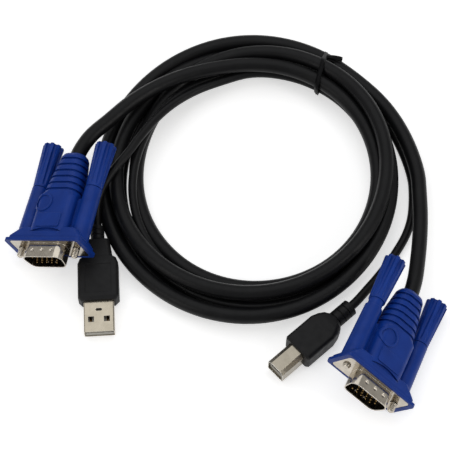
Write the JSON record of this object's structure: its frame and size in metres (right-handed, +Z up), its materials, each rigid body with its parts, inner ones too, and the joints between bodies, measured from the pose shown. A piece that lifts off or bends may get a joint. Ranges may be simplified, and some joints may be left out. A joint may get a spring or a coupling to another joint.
{
  "type": "kvm cable",
  "caption": "Coiled keyboard-video-mouse lead held by a twist tie, with a D-sub video plug and a USB plug at either end.",
  "frame": {"origin": "on the table, under the middle of the plugs and the tie in plan", "axes": "+X to the right and +Y away in the picture's view, +Z up from the table"},
  "size_m": [0.175, 0.1745, 0.0304],
  "materials": {
    "hood": "satin moulded blue",
    "knob": "satin moulded blue",
    "bright_metal": "bright nickel plate",
    "usb_metal": "nickel plate",
    "dark_plastic": "moulded black",
    "pale_plastic": "moulded off-white",
    "contacts": "gold flash",
    "overmould": "satin black PVC",
    "jacket": "satin black PVC",
    "tie": "coated wire ribbon"
  },
  "bodies": {
    "cable": {"left_vga_hood": "hood", "left_vga_front_shell": "bright_metal", "left_vga_rear_shell": "bright_metal", "left_vga_insulator": "dark_plastic", "left_vga_pins": "contacts", "right_vga_hood": "hood", "right_vga_front_shell": "bright_metal", "right_vga_rear_shell": "bright_metal", "right_vga_insulator": "dark_plastic", "right_vga_pins": "contacts", "usb_a_boot": "overmould", "usb_a_shell": "usb_metal", "usb_a_tongue": "pale_plastic", "usb_a_contacts": "contacts", "usb_b_boot": "overmould", "usb_b_shell": "usb_metal", "usb_b_insulator": "pale_plastic", "usb_b_contacts": "contacts", "coil": "jacket", "left_vga_tail": "jacket", "right_vga_tail": "jacket", "usb_a_tail": "jacket", "usb_b_tail": "jacket", "twist_tie": "tie"},
    "left_vga_left_screw": {"left_vga_left_knob": "knob", "left_vga_left_jackscrew": "bright_metal"},
    "left_vga_right_screw": {"left_vga_right_knob": "knob", "left_vga_right_jackscrew": "bright_metal"},
    "right_vga_left_screw": {"right_vga_left_knob": "knob", "right_vga_left_jackscrew": "bright_metal"},
    "right_vga_right_screw": {"right_vga_right_knob": "knob", "right_vga_right_jackscrew": "bright_metal"}
  },
  "joints": [
    {"name": "left_vga_left_screw_turn", "type": "hinge", "parent": "cable", "child": "left_vga_left_screw", "pos_m": [-0.07513, 0.01494, 0.00891], "axis": [0.2095, 0.9774, 0.0279], "continuous": true},
    {"name": "left_vga_right_screw_turn", "type": "hinge", "parent": "cable", "child": "left_vga_right_screw", "pos_m": [-0.05255, 0.00983, 0.01831], "axis": [0.2095, 0.9774, 0.0279], "continuous": true},
    {"name": "right_vga_left_screw_turn", "type": "hinge", "parent": "cable", "child": "right_vga_left_screw", "pos_m": [0.05672, -0.04317, 0.02004], "axis": [0.4196, 0.9041, -0.0811], "continuous": true},
    {"name": "right_vga_right_screw_turn", "type": "hinge", "parent": "cable", "child": "right_vga_right_screw", "pos_m": [0.07504, -0.05292, 0.00611], "axis": [0.4196, 0.9041, -0.0811], "continuous": true}
  ]
}
